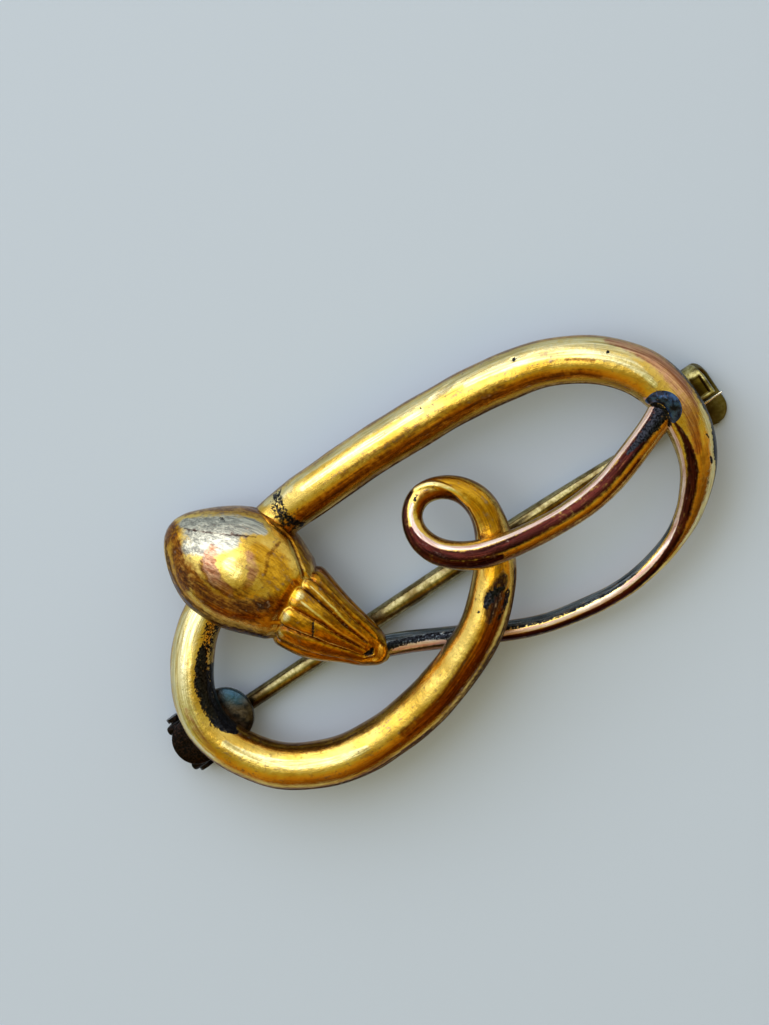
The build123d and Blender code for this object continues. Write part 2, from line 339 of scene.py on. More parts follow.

# Marks of age on each piece, and among them painted highlights, painted reflections and painted shade. Every
# row is a stroke: its kind, its strength, and the spots that it runs through, each given in mm along the
# piece, degrees round it from the front, and mm of reach to each side. A film's strength is how well it
# covers, a dent's is its depth in mm, and a ridge's is below zero
Spot = namedtuple("Spot", "along turn reach")
strokes = {
    "upper_strand": [
        # Top of the figure, from the joint with the head to the bend
        ("soot", 0.6, (3.7, 54, 0.45), (3.4, 14, 0.55), (3.4, -20, 0.6), (3.6, -50, 0.5)),
        ("soot", 0.82, (3.4, 0, 0.14), (3.7, -16, 0.22), (3.5, -34, 0.26), (3.9, -48, 0.18)),
        ("pale", 0.7, (2.9, 62, 0.35), (3.6, 50, 0.45), (4.8, 45, 0.25)),
        # Painted light along the top: the pale bands are painted highlights, the brown and amber bands below
        # them painted reflections of dark and warm surroundings, and the umber band at the lower edge painted
        # shade
        ("pale", 0.75, (5.0, 56, 0.18), (10.0, 54, 0.3), (15.0, 50, 0.45), (20.0, 50, 0.48),
         (25.0, 54, 0.55), (27.0, 50, 0.4)),
        ("brown", 0.62, (4.5, -26, 0.4), (12.0, -26, 0.34), (20.0, -28, 0.34), (25.0, -26, 0.3)),
        ("umber", 0.7, (4.5, -76, 0.3), (12.0, -72, 0.36), (20.0, -70, 0.36), (28.0, -72, 0.3)),
        ("amber", 0.8, (4.5, -50, 0.3), (12.0, -48, 0.34), (20.0, -46, 0.36), (27.0, -48, 0.3)),
        ("pale", 0.85, (5.5, 26, 0.18), (9.0, 26, 0.22), (14.0, 24, 0.16)),
        ("pale", 0.85, (17.0, 28, 0.16), (22.0, 26, 0.26), (26.4, 20, 0.3), (28.4, 2, 0.18)),
        ("brown", 0.9, (14.9, 38, 0.06), (15.8, 44, 0.11), (16.3, 54, 0.06)),
        ("dent", 0.025, (14.9, 38, 0.18), (15.8, 44, 0.24), (16.4, 56, 0.15)),
        ("soot", 1.0, (14.0, 32, 0.07)),
        ("soot", 1.0, (20.1, 40, 0.1)),
        ("soot", 1.0, (25.3, 32, 0.1)),
        ("dent", 0.04, (20.1, 40, 0.14)),
        ("brown", 0.5, (8.0, -4, 0.22), (13.0, -6, 0.3), (19.0, -8, 0.26)),
        ("brown", 0.7, (23.0, 10, 0.1), (24.6, 8, 0.14)),
        # Right bend: rose metal laid bare, a broken black edge outside, and a dark inner side, whose maroon
        # band is a painted reflection of the dark on rose metal beside a rose line that is a painted
        # highlight
        ("copper", 0.85, (25.2, 66, 0.25), (27.4, 56, 0.5), (29.0, 46, 0.62), (30.4, 34, 0.55),
         (31.6, 14, 0.4), (33.0, 6, 0.22)),
        ("soot", 1.0, (28.4, 92, 0.3), (30.0, 86, 0.34), (31.0, 80, 0.3), (31.8, 82, 0.22), (32.4, 76, 0.3),
         (33.4, 72, 0.3), (34.2, 80, 0.22), (36.5, 88, 0.2)),
        ("soot", 0.95, (29.0, -40, 0.22), (29.5, -36, 0.36), (30.1, -33, 0.42), (30.8, -42, 0.26)),
        # Painted highlight: a rose glint by the solder
        ("rose", 0.8, (28.5, -44, 0.12), (28.9, -50, 0.14)),
        ("copper", 0.9, (29.9, -28, 0.08), (30.5, -32, 0.12), (30.9, -36, 0.1)),
        ("soot", 1.0, (32.3, 42, 0.07), (32.5, 46, 0.05)),
        ("soot", 1.0, (33.5, 44, 0.07), (33.8, 48, 0.09)),
        ("soot", 0.9, (34.9, 40, 0.05)),
        ("brown", 0.36, (30.0, 12, 0.3), (31.6, 26, 0.3), (34.0, 14, 0.25), (37.0, 12, 0.3)),
        ("pale", 0.62, (31.0, 60, 0.22), (33.0, 56, 0.34), (36.0, 52, 0.34), (38.6, 48, 0.24)),
        ("pale", 0.6, (31.4, 38, 0.26), (33.2, 34, 0.4), (36.2, 32, 0.4), (39.0, 34, 0.26)),
        # Painted highlight: the rose line; painted reflection of the dark: the maroon band beside it
        ("rose", 0.95, (30.9, -44, 0.16), (33.4, -46, 0.17), (36.0, -46, 0.15), (38.0, -42, 0.13)),
        ("maroon", 1.0, (30.6, -24, 0.06), (32.6, -16, 0.26), (34.0, -14, 0.36), (36.0, -18, 0.34),
         (38.2, -10, 0.3), (40.0, 8, 0.26), (43.0, 28, 0.24), (48.0, 34, 0.26), (54.0, 34, 0.32)),
        # Tapered strand below: a dark upper side, a painted reflection of the dark; a rose line and a bright
        # line, painted highlights
        ("rose", 0.95, (37.5, -42, 0.13), (39.2, -26, 0.13), (41.0, -12, 0.14), (45.0, -6, 0.15),
         (53.8, 0, 0.16)),
        ("slate", 1.0, (38.0, -70, 0.12), (42.0, -54, 0.26), (46.0, -50, 0.36), (50.0, -46, 0.4),
         (53.8, -42, 0.46)),
        ("soot", 0.66, (42.0, -34, 0.08), (46.0, -28, 0.1), (50.0, -26, 0.12), (53.8, -26, 0.14)),
        ("bright", 0.72, (43.5, -22, 0.07), (46.5, -20, 0.08), (50.0, -22, 0.1), (53.4, -18, 0.12)),
        ("slate", 1.0, (53.4, 70, 0.5), (54.6, 0, 1.1), (57.0, -10, 1.3), (59.0, 0, 1.2)),
        ("soot", 0.74, (54.2, -20, 0.3), (55.6, -30, 0.22), (58.8, -10, 0.26)),
        # Painted highlights: silver and rose glints on the dark grey piece by the snout
        ("silver", 1.0, (54.9, 22, 0.2), (56.4, 16, 0.26), (58.4, 18, 0.22)),
        ("rose", 0.74, (54.9, 10, 0.14), (56.0, 4, 0.2), (57.4, 6, 0.2), (58.3, 8, 0.14)),
        ("copper", 0.75, (54.0, 48, 0.14), (56.5, 46, 0.16), (58.6, 44, 0.12)),
    ],
    "lower_strand": [
        # Left ring: pale outside, a painted highlight, and black tarnish inside
        ("pale", 0.95, (1.9, -16, 0.75), (3.6, -26, 0.8), (6.0, -28, 0.78), (8.2, -24, 0.6),
         (10.5, -34, 0.35)),
        # Painted highlight along the ring's lower part
        ("pale", 0.78, (10.8, 14, 0.22), (13.5, 20, 0.3), (17.0, 18, 0.32), (20.5, 10, 0.2)),
        ("amber", 0.85, (17.0, -52, 0.2), (20.0, -42, 0.34), (24.0, -32, 0.46), (30.0, -20, 0.55),
         (34.0, -10, 0.5)),
        ("amber", 0.9, (34.6, 0, 0.6), (37.0, -10, 0.6), (39.0, -20, 0.6), (41.0, -50, 0.5),
         (42.6, -80, 0.4)),
        ("soot", 0.55, (1.9, 40, 0.6), (3.0, 44, 0.6), (4.4, 48, 0.55)),
        ("soot", 1.0, (4.2, 34, 0.25), (5.4, 38, 0.5), (6.5, 44, 0.6), (8.1, 52, 0.6), (9.9, 54, 0.5),
         (10.9, 60, 0.3)),
        ("soot", 1.0, (5.5, 84, 0.5), (8.0, 90, 0.6), (10.4, 86, 0.5)),
        ("copper", 0.55, (7.8, -20, 0.22), (9.4, -14, 0.26), (10.6, -20, 0.15)),
        # Painted reflection of the dark: the brown band below the highlight
        ("brown", 0.75, (9.5, -60, 0.2), (12.0, -58, 0.28), (16.0, -56, 0.3), (21.0, -52, 0.26),
         (24.0, -58, 0.15)),
        ("brown", 0.55, (11.5, 60, 0.2), (16.0, 56, 0.25), (22.0, 50, 0.25)),
        ("brown", 0.85, (23.0, -14, 0.34), (27.0, -22, 0.55), (30.0, -20, 0.55), (33.0, -28, 0.55)),
        # Painted shade along the ring's outer, lower edge
        ("umber", 0.74, (9.4, -76, 0.3), (12.0, -72, 0.4), (18.0, -70, 0.46), (25.0, -68, 0.5),
         (30.0, -70, 0.46), (34.5, -76, 0.3)),
        # Where it passes under the loop: dark spots
        ("umber", 0.8, (31.8, -10, 0.3), (33.0, -8, 0.6), (34.2, -26, 0.4)),
        ("soot", 0.88, (32.5, 6, 0.18), (33.0, 0, 0.34), (33.5, -12, 0.26), (33.7, -30, 0.14)),
        ("soot", 0.7, (32.0, 18, 0.1)),
        ("soot", 0.7, (31.9, -34, 0.1), (32.6, -44, 0.16), (33.5, -46, 0.2)),
        ("dent", 0.05, (33.1, -4, 0.4)),
        # Small loop: a crisp edge that winds round it, with a painted highlight along it, brown inside and
        # maroon below
        ("ridge", -0.1, (36.2, 42, 0.16), (37.1, 34, 0.18), (38.5, 34, 0.18), (40.0, 20, 0.18),
         (41.1, -8, 0.18), (41.9, -36, 0.18), (42.6, -50, 0.16)),
        ("bright", 0.95, (36.2, 42, 0.08), (38.5, 34, 0.11), (40.0, 20, 0.11), (41.1, -8, 0.11),
         (41.9, -36, 0.1), (42.6, -50, 0.08)),
        ("brown", 0.95, (36.4, 70, 0.25), (38.2, 64, 0.3), (39.8, 52, 0.34), (41.2, 30, 0.36),
         (42.4, 16, 0.36), (43.4, 40, 0.3), (44.2, 64, 0.2)),
        ("maroon", 0.95, (42.9, -56, 0.18), (44.2, -38, 0.3), (45.8, -30, 0.36), (47.6, -30, 0.38),
         (49.4, -26, 0.36), (50.4, -24, 0.2)),
        ("soot", 0.55, (42.8, -20, 0.1), (43.1, -6, 0.1)),
        # Tail: a rose line above, a painted highlight; maroon along its middle, a painted reflection of the
        # dark on rose metal; gold below; and black at the solder
        ("rose", 1.0, (43.3, -12, 0.11), (44.6, 14, 0.14), (46.0, 34, 0.14), (48.0, 44, 0.13),
         (52.0, 50, 0.13), (57.0, 50, 0.14), (62.6, 54, 0.18), (64.4, 52, 0.2)),
        ("maroon", 1.0, (44.8, -8, 0.24), (46.3, 6, 0.3), (48.3, 12, 0.32), (50.4, 16, 0.34),
         (54.0, 16, 0.38), (59.0, 16, 0.4), (63.0, 12, 0.5), (66.5, 10, 0.8)),
        ("soot", 0.95, (60.0, 22, 0.1), (61.4, 14, 0.3), (62.8, 2, 0.5), (64.2, -12, 0.6), (66.5, 0, 0.8)),
        ("copper", 0.85, (63.7, 30, 0.16), (64.3, 18, 0.14)),
        ("brown", 0.8, (49.0, -46, 0.2), (54.0, -50, 0.22), (60.0, -44, 0.24)),
    ],
    "head": [
        # Pale patch, a painted reflection of the sky; a painted highlight with a dull halo; and mottling
        # below them
        ("brown", 0.85, (0.0, 0, 0.85)),
        ("amber", 0.9, (5.6, 34, 0.6), (6.8, 30, 1.1), (8.2, 20, 0.9)),
        ("amber", 0.95, (3.6, 84, 0.4), (5.4, 84, 0.6), (7.4, 74, 0.5), (8.6, 62, 0.3)),
        ("amber", 0.95, (0.3, 24, 0.5), (0.8, -10, 0.6), (1.6, -36, 0.6), (2.6, -50, 0.6), (4.0, -52, 0.5)),
        # Painted shade: umber along the bulb's lower edge
        ("umber", 0.72, (0.5, -34, 0.24), (1.5, -54, 0.5), (3.0, -60, 0.82), (4.8, -60, 0.95),
         (6.8, -60, 0.92), (8.6, -60, 0.5)),
        # Painted reflection of the sky: the greyed patch on the bulb
        ("silver", 1.0, (0.9, 44, 0.4), (1.9, 38, 0.95), (3.2, 48, 1.0), (4.4, 56, 0.65), (5.2, 56, 0.3)),
        ("silver", 0.95, (1.8, 8, 0.45), (2.8, 22, 0.85), (3.8, 32, 0.6)),
        ("maroon", 0.66, (1.0, 30, 0.06), (2.2, 34, 0.07), (3.6, 38, 0.07), (5.0, 46, 0.06)),
        ("soot", 0.75, (2.6, 58, 0.1), (2.9, 54, 0.05)),
        ("brown", 0.86, (3.0, 14, 0.4), (3.4, 0, 0.5), (4.2, -9, 0.45), (5.2, -12, 0.4)),
        ("slate", 0.6, (3.0, 14, 0.34), (3.5, 2, 0.4), (4.3, -8, 0.34)),
        ("copper", 0.64, (3.1, 16, 0.4), (3.5, 2, 0.44), (4.3, -8, 0.34), (5.2, -10, 0.3)),
        ("copper", 0.72, (5.2, 28, 0.26), (5.9, 18, 0.3), (6.1, 6, 0.26)),
        # Painted highlight: the bright spot inside the halo
        ("bright", 0.95, (4.5, 12, 0.42), (5.0, 8, 0.42)),
        ("brown", 0.6, (5.9, 12, 0.25), (6.1, -2, 0.4), (5.6, -14, 0.6)),
        ("brown", 0.55, (3.9, -14, 0.4), (3.0, -24, 0.5)),
        ("brown", 0.86, (0.7, 4, 0.34), (1.5, -14, 0.54), (2.6, -34, 0.62)),
        ("brown", 0.84, (2.4, -14, 0.45), (3.8, -26, 0.65), (5.4, -30, 0.85), (7.0, -22, 0.85),
         (8.0, 0, 0.55)),
        ("umber", 0.6, (2.2, -24, 0.3), (3.2, -26, 0.42), (4.4, -26, 0.46), (6.2, -22, 0.5),
         (7.4, -10, 0.5)),
        # Painted shade: maroon along the bulb's lower edge
        ("maroon", 0.6, (1.6, -56, 0.3), (4.0, -62, 0.5), (6.5, -62, 0.5), (8.4, -56, 0.35)),
        ("soot", 0.6, (5.4, -78, 0.25), (7.2, -72, 0.3), (8.4, -62, 0.3)),
        ("brown", 0.62, (6.4, 56, 0.1), (6.2, 36, 0.16), (6.6, 20, 0.12)),
        # Seam that curves from the joint above to the first rib, crack across a rib, and the pit at the tip
        ("dent", 0.07, (3.8, 96, 0.16), (5.3, 73, 0.16), (6.7, 70, 0.16), (7.7, 60, 0.16), (8.6, 50, 0.16)),
        ("brown", 0.85, (3.8, 96, 0.14), (5.3, 73, 0.11), (6.7, 70, 0.11), (7.7, 60, 0.11), (8.6, 50, 0.1)),
        ("soot", 1.0, (10.55, 6, 0.06), (10.75, -2, 0.07), (10.9, -11, 0.06)),
        ("dent", 0.03, (10.55, 6, 0.07), (10.9, -11, 0.07)),
        ("dent", 0.2, (14.15, -14, 0.1), (14.4, 0, 0.17), (14.38, 12, 0.1)),
        ("soot", 1.0, (14.15, -14, 0.08), (14.4, 0, 0.15), (14.38, 12, 0.08)),
        # Painted highlights: a bright rim past the pit, bright lines along the ribs' crests, and pale caps at
        # the ribs' starts
        ("bright", 0.75, (14.85, -20, 0.14), (14.95, 10, 0.16), (14.75, 34, 0.14)),
        ("bright", 0.72, (9.3, 19, 0.06), (11.2, 18, 0.07), (13.9, 7, 0.06)),
        ("bright", 0.72, (9.3, 43, 0.05), (11.2, 42, 0.07), (13.9, 26, 0.06)),
        ("bright", 0.66, (9.4, -18, 0.04), (11.2, -9, 0.06), (13.9, -13, 0.05)),
        ("pale", 0.66, (9.05, 24, 0.26)),
        ("pale", 0.66, (9.0, -8, 0.26)),
        ("pale", 0.6, (9.2, -36, 0.22)),
    ],
}

# Shares of its reach between which a stroke fades out
stroke_fade = (0.5, 1.5)

# Least square of a stroke's length that is divided by, in square mm, as a stroke of one spot has none
least_square = 1e-9

# Points of an outline that lie nearer than this, in mm, are one
same_point = 1e-6

# Camera: the place it looks at, the side it stands on, the way in plan that is up in the picture, and its
# distance. The focal length is in pixels of a picture this wide
camera_aim = (-1.13, 5.43, 3.60)
camera_azimuth = 22.78
camera_elevation = 76.0
camera_upright = 54.99
camera_distance = 191.46
sensor_width = 36.0
focal_pixels = 3200.0
picture_width = 769

# Softboxes: the azimuth and elevation each stands at, its distance and size in mm, brightness and colour
Softbox = namedtuple("Softbox", "name azimuth elevation distance wide tall brightness colour")
softboxes = [
    Softbox("sky_box", 96, 46, 400, 460, 420, 1.40, "#FBFDFF"),
    Softbox("top_lamp", 130, 80, 400, 100, 100, 1.9, "#FFF4CC"),
]

# Walls of the studio, from the dark end round to the window: the share of the way and the colour there, and
# the azimuth and elevation of the window
Wall = namedtuple("Wall", "place colour")
walls = [
    Wall(0.00, "#5A3008"),
    Wall(0.12, "#80520F"),
    Wall(0.24, "#B8842A"),
    Wall(0.33, "#BCA03C"),
    Wall(0.43, "#A09A48"),
    Wall(0.52, "#C8C8A0"),
    Wall(0.66, "#EFF2EC"),
    Wall(1.00, "#F4F8FA"),
]
window_way = (82, 8)
wall_brightness = 1.0

# Floor, in metres to each side
floor_reach = 1.5


def place(points):
    """Points laid out about the pin line, in millimetres, as the frame's metres."""
    rivet = next(joint["pos_m"] for joint in frame["joints"] if joint["name"] == "pin_swing")
    return (np.asarray(points, float) - (hinge_x, 0, rivet_height)) * MM + rivet


def smooth_columns(knots, rows, places):
    """The rows' columns at places between their knots, on a natural cubic spline."""
    knots = np.asarray(knots, float)
    rows = np.asarray(rows, float)
    step = np.diff(knots)
    slope = np.diff(rows, axis=0) / step[:, None]
    matrix = np.diag(2 * (step[:-1] + step[1:])) + np.diag(step[1:-1], 1) + np.diag(step[1:-1], -1)
    bends = np.zeros_like(rows)
    bends[1:-1] = np.linalg.solve(matrix, 6 * np.diff(slope, axis=0))
    i = np.clip(np.searchsorted(knots, places, "right") - 1, 0, len(step) - 1)
    wide = step[i][:, None]
    low = (knots[i + 1] - places)[:, None] / wide
    high = 1 - low
    curve = (low**3 - low) * bends[i] + (high**3 - high) * bends[i + 1]
    return low * rows[i] + high * rows[i + 1] + curve * wide**2 / 6


def smooth_step(low, high, values):
    """0 below low, 1 above high, and a smooth rise between them."""
    share = np.clip((np.asarray(values, float) - low) / (high - low), 0, 1)
    return share * share * (3 - 2 * share)


def unevenness(points):
    """Gentle waves of a hand-polished skin, in mm, at points in mm."""
    chance = np.random.default_rng(wave_seed)
    ways = chance.normal(size=(wave_count, 3))
    ways /= np.linalg.norm(ways, axis=1)[:, None]
    lengths = chance.uniform(*wave_lengths, wave_count)
    starts = chance.uniform(0, 2 * math.pi, wave_count)
    waves = np.sin(2 * math.pi * (points @ ways.T) / lengths + starts)
    return wave_height * waves.sum(axis=-1)


def stroke_masks(piece, along, turn, radius):
    """How strongly each film shows on a piece, and how deep its skin is dented in mm, at its rings' places
    and the turns round them."""
    kinds = [film.kind for film in films] + ["dent", "ridge"]
    masks = {kind: np.zeros((len(along), len(turn))) for kind in kinds}
    for kind, strength, *path in strokes[piece]:
        spots = [Spot(*spot) for spot in path]
        shown = np.zeros((len(along), len(turn)))
        for first, last in zip(spots, spots[1:] or spots):
            run = last.along - first.along
            turned = math.radians(last.turn - first.turn)
            off = along[:, None] - first.along
            off_turn = (turn[None, :] - math.radians(first.turn) + math.pi) % (2 * math.pi) - math.pi
            size = run**2 + (turned * radius[:, None]) ** 2
            share = off * run + off_turn * turned * radius[:, None] ** 2
            share = np.clip(share / np.maximum(size, least_square), 0, 1)
            gap = np.hypot(off - share * run, (off_turn - share * turned) * radius[:, None])
            reach = first.reach + share * (last.reach - first.reach)
            shown = np.maximum(shown, 1 - smooth_step(*stroke_fade, gap / reach))
        stronger = abs(strength * shown) >= abs(masks[kind])
        masks[kind] = np.where(stronger, strength * shown, masks[kind])
    relief = masks.pop("dent") + masks.pop("ridge")
    return masks, relief


def skin(name, grid, masks=None):
    """Closed mesh over rows of points, one row a ring; masks are values at the points, kept as attributes."""
    rings, sides, _ = grid.shape
    index = np.arange(rings * sides).reshape(rings, sides)
    ahead = np.roll(index, -1, axis=1)
    quads = np.stack([index[:-1], ahead[:-1], ahead[1:], index[1:]], axis=-1).reshape(-1, 4).tolist()
    points = [grid.reshape(-1, 3), grid[:1].mean(axis=1), grid[-1:].mean(axis=1)]
    first, last = rings * sides, rings * sides + 1
    quads += [(int(b), int(a), first) for a, b in zip(index[0], ahead[0])]
    quads += [(int(a), int(b), last) for a, b in zip(index[-1], ahead[-1])]
    mesh = bpy.data.meshes.new(name)
    mesh.from_pydata(place(np.vstack(points)).tolist(), [], quads)
    mesh.shade_smooth()
    for key, value in (masks or {}).items():
        middles = [value[end].reshape(sides, -1).mean(axis=0) for end in (0, -1)]
        flat = np.vstack([value.reshape(rings * sides, -1), *middles])
        kind, field = ("FLOAT_VECTOR", "vector") if flat.shape[1] == 3 else ("FLOAT", "value")
        mesh.attributes.new(key, kind, "POINT").data.foreach_set(field, flat.astype(np.float32).ravel())
    piece = bpy.data.objects.new(name, mesh)
    bpy.context.scene.collection.objects.link(piece)
    return piece


def lie_of(along, turn, radius):
    """Where each point lies on its piece: mm along it, and its place round a straight tube of that radius."""
    out = np.empty((len(along), len(turn), 3))
    out[..., 0] = along[:, None]
    out[..., 1] = radius[:, None] * np.cos(turn)
    out[..., 2] = radius[:, None] * np.sin(turn)
    return out


def flank_tarnish_and_shade(turn):
    """Brown film that stays on the sides and the back, where no cloth rubs it off, and darkens the edges as
    painted shade.
    """
    return flank_strength * smooth_step(*flank_turns, np.abs(turn))[None, :]


def head_sizes(along):
    """Half widths, half heights and middles of the head, at shares of its length from the nape."""
    columns = smooth_columns([row.along for row in head_rows], [row[1:] for row in head_rows], along)
    wide, high, back, side = columns.T
    middles = bulb_place + np.outer(along * head_length - bulb_from_nape, head_axis)
    middles += np.outer(side * head_width, head_across)
    middles += np.outer((back + high / 2) * head_height, UP)
    return wide * head_width / 2, high * head_height / 2, middles


def strand_rows(rows):
    """Places and diameters of a strand's rows."""
    scale = (figure_length, figure_width, tube_level, tube_diameter)
    return np.array([(row.x, row.y, row.level, row.thick) for row in rows]) * scale


def upper_stations():
    """The upper strand's rows, on to its seat in the snout."""
    rows = strand_rows(upper_rows)
    seat = head_sizes(np.array([1 - seat_from_tip / head_length]))[2][0]
    return np.vstack([rows, [*seat, rows[-1][3]]])


def lower_stations():
    """The lower strand's rows, on to the tail's seat on the upper strand."""
    rows = strand_rows(lower_rows)
    tail_seat = strand_rows(upper_rows)[tail_row][:3]
    return np.vstack([rows, [*tail_seat, rows[-1][3]]])


def strand(name, stations):
    """Round tube through its stations, with its strokes."""
    steps = np.linalg.norm(np.diff(stations[:, :3], axis=0), axis=1)
    knots = np.concatenate([[0], np.cumsum(steps)])
    along = np.arange(0, knots[-1], strand_step)
    columns = smooth_columns(knots, stations, along)
    path = columns[:, :3]
    radius = columns[:, 3] / 2
    ahead = np.gradient(path, axis=0)
    ahead /= np.linalg.norm(ahead, axis=1)[:, None]
    side = np.cross(UP, ahead)
    side /= np.linalg.norm(side, axis=1)[:, None]
    front = np.cross(ahead, side)
    turn = np.linspace(-math.pi, math.pi, strand_sides, endpoint=False)
    round_way = np.cos(turn)[:, None] * front[:, None, :] + np.sin(turn)[:, None] * side[:, None, :]
    masks, relief = stroke_masks(name, along, turn, radius)
    depth = relief - unevenness(path[:, None, :] + radius[:, None, None] * round_way)
    grid = path[:, None, :] + (radius[:, None, None] - np.maximum(depth, max_rise)[..., None]) * round_way
    masks["brown"] = np.maximum(masks["brown"], flank_tarnish_and_shade(turn))
    return skin(name, grid, {"lie": lie_of(along, turn, radius), **masks})


def rib_relief(from_nape, turn):
    """How far the snout's skin dips between its ribs, at mm from the nape and turns from the front."""
    groove_length = groove_end_at - groove_start_at
    share = (from_nape - groove_start_at) / groove_length
    middle_share = (groove_middle_at - groove_start_at) / groove_length
    lines = []
    for groove in grooves:
        bend = np.interp(share, [0, middle_share, 1], [groove.start, groove.middle, groove.end])
        lines.append(np.radians(bend)[:, None])
    relief = np.zeros((len(from_nape), len(turn)))
    before_end, after_end = groove_fade
    fade = 1 - smooth_step(groove_end_at - before_end, groove_end_at + after_end, from_nape)[:, None]
    before_rib, after_rib = groove_rise
    for i, groove in enumerate(grooves):
        width = (lines[(i + 1) % len(grooves)] - lines[i]) % (2 * math.pi)
        across = ((turn[None, :] - lines[i]) % (2 * math.pi)) / width
        before = np.maximum((groove.rib_start + rib_end_reach - from_nape) / rib_end_reach, 0)[:, None]
        off = np.clip(np.sqrt((2 * across - 1) ** 4 + before**2), 0, 1)
        sink = smooth_step(groove.rib_start - before_rib, groove.rib_start + after_rib, from_nape)[:, None]
        relief = np.where(across < 1, sink * fade * (1 - (1 - off**2) ** rib_power), relief)
    return relief


def head():
    """Pear-shaped head, with the ribs of its snout and the pit between their ends."""
    first, last = head_rows[0].along, head_rows[-1].along
    along = first + (last - first) * (1 - np.cos(np.linspace(0, math.pi, head_rings))) / 2
    from_nape = along * head_length
    turn = np.linspace(-math.pi, math.pi, head_sides, endpoint=False)
    half_width, half_height, middles = head_sizes(along)
    radius = (half_width + half_height) / 2
    masks, relief = stroke_masks("head", from_nape, turn, radius)
    groove = rib_relief(from_nape, turn)
    round_way = np.sin(turn)[:, None] * head_across + np.cos(turn)[:, None] * UP
    depth = relief + groove_depth * groove
    depth -= unevenness(middles[:, None, :] + radius[:, None, None] * round_way)
    depth = np.maximum(depth, max_rise)
    wide = (half_width[:, None] - depth) * np.sin(turn)
    high = (half_height[:, None] - depth) * np.cos(turn)
    grid = middles[:, None, :] + wide[..., None] * head_across + high[..., None] * UP
    ribbed = smooth_step(groove_start_at, groove_start_at + ribbed_reach, from_nape)[:, None]
    brown = ribbed * np.maximum(rib_film, smooth_step(*brown_depths, groove))
    masks["brown"] = np.maximum(np.maximum(masks["brown"], flank_tarnish_and_shade(turn)), brown)
    masks["amber"] = np.maximum(masks["amber"], ribbed)
    masks["umber"] = np.maximum(masks["umber"], ribbed * smooth_step(*umber_depths, groove))
    return skin("head", grid, {"lie": lie_of(from_nape, turn, radius), **masks})


def solder_bead():
    """Solder that has run round the end of the tail."""
    knots = np.linspace(0, 1, len(solder_ridge))
    drops = [Drop(*row) for row in smooth_columns(knots, solder_ridge, np.linspace(0, 1, ridge_drops))]
    shape = bmesh.new()
    for drop in drops + [solder_pool]:
        spot = Matrix.Translation((drop.x, drop.y, drop.z))
        bmesh.ops.create_icosphere(shape, subdivisions=3, radius=drop.radius, matrix=spot)
    lumps = bpy.data.meshes.new("solder_drops")
    shape.to_mesh(lumps)
    shape.free()
    piece = bpy.data.objects.new("solder_bead", lumps)
    bpy.context.scene.collection.objects.link(piece)
    melt = piece.modifiers.new("melt", "REMESH")
    melt.mode = "VOXEL"
    melt.voxel_size = solder_grain
    flow = piece.modifiers.new("flow", "SMOOTH")
    flow.iterations = solder_rounds
    run_together = bpy.data.meshes.new_from_object(piece.evaluated_get(bpy.context.evaluated_depsgraph_get()))
    piece.modifiers.clear()
    piece.data = run_together
    run_together.name = "solder_bead"
    points = np.empty(3 * len(run_together.vertices))
    run_together.vertices.foreach_get("co", points)
    points = points.reshape(-1, 3)
    run_together.vertices.foreach_set("co", place(points + unevenness(points)[:, None]).ravel())
    run_together.shade_smooth()
    bpy.data.meshes.remove(lumps)
    return piece


def slab(name, outline, thickness, rounding, to_place, dome=0.0, masks_of=None):
    """Plate with rounded edges over an outline with no hollow side; a dome raises its upper face's middle."""
    outline = np.asarray(outline, float)
    tangent = np.roll(outline, -1, axis=0) - np.roll(outline, 1, axis=0)
    tangent /= np.linalg.norm(tangent, axis=1)[:, None]
    inward = np.stack([-tangent[:, 1], tangent[:, 0]], axis=1)
    rings = []
    for side, level in ((-1, rounding), (1, thickness - rounding)):
        for turn in np.linspace(0, math.pi / 2, edge_points)[::side]:
            inset = rounding * (1 - math.cos(turn))
            height = level + side * rounding * math.sin(turn)
            rings.append(np.column_stack([outline + inward * inset, np.full(len(outline), height)]))
    rim = rings[-1]
    middle = rim.mean(axis=0)
    for share in np.linspace(*face_span, face_rings):
        ring = middle + (rim - middle) * (share, share, 1)
        ring[:, 2] += dome * math.sqrt(1 - share**2)
        rings.append(ring)
    rings = np.array(rings)
    return skin(name, to_place(rings), masks_of and masks_of(rings))


def loop_of(*runs):
    """One closed outline from several runs of points, without doubled points."""
    points = np.vstack(runs)
    return points[np.linalg.norm(points - np.roll(points, 1, axis=0), axis=1) > same_point]


def arc(middle, radius, start, end, count=arc_points):
    """Points on a circle's arc from one angle to another, in degrees."""
    turn = np.radians(np.linspace(start, end, count))
    return np.column_stack([middle[0] + radius * np.cos(turn), middle[1] + radius * np.sin(turn)])


def hinge_plate():
    """Plate behind the ring, whose round end shows inside it."""
    half = plate_width / 2
    left = hinge_x - plate_reach
    right = hinge_x - rivet_height + plate_length - plate_end_radius
    near = left + plate_corner
    inner = half - plate_corner
    outline = loop_of(arc((near, inner), plate_corner, 90, 180, corner_points),
                      arc((near, -inner), plate_corner, 180, 270, corner_points),
                      arc((right, plate_end_shift), plate_end_radius, -90, 90))

    def to_place(rings):
        """Where the plate lies about the pin line."""
        return rings + (0, 0, solder_level - plate_thickness)

    def blued(rings):
        """How far the torch has blued each point."""
        off = np.linalg.norm(rings[..., :2] - blued_place, axis=-1)
        return {"blued": 1 - smooth_step(*blued_reach, off)}

    return slab("hinge_plate", outline, plate_thickness, plate_rounding, to_place, dome_rise, blued)


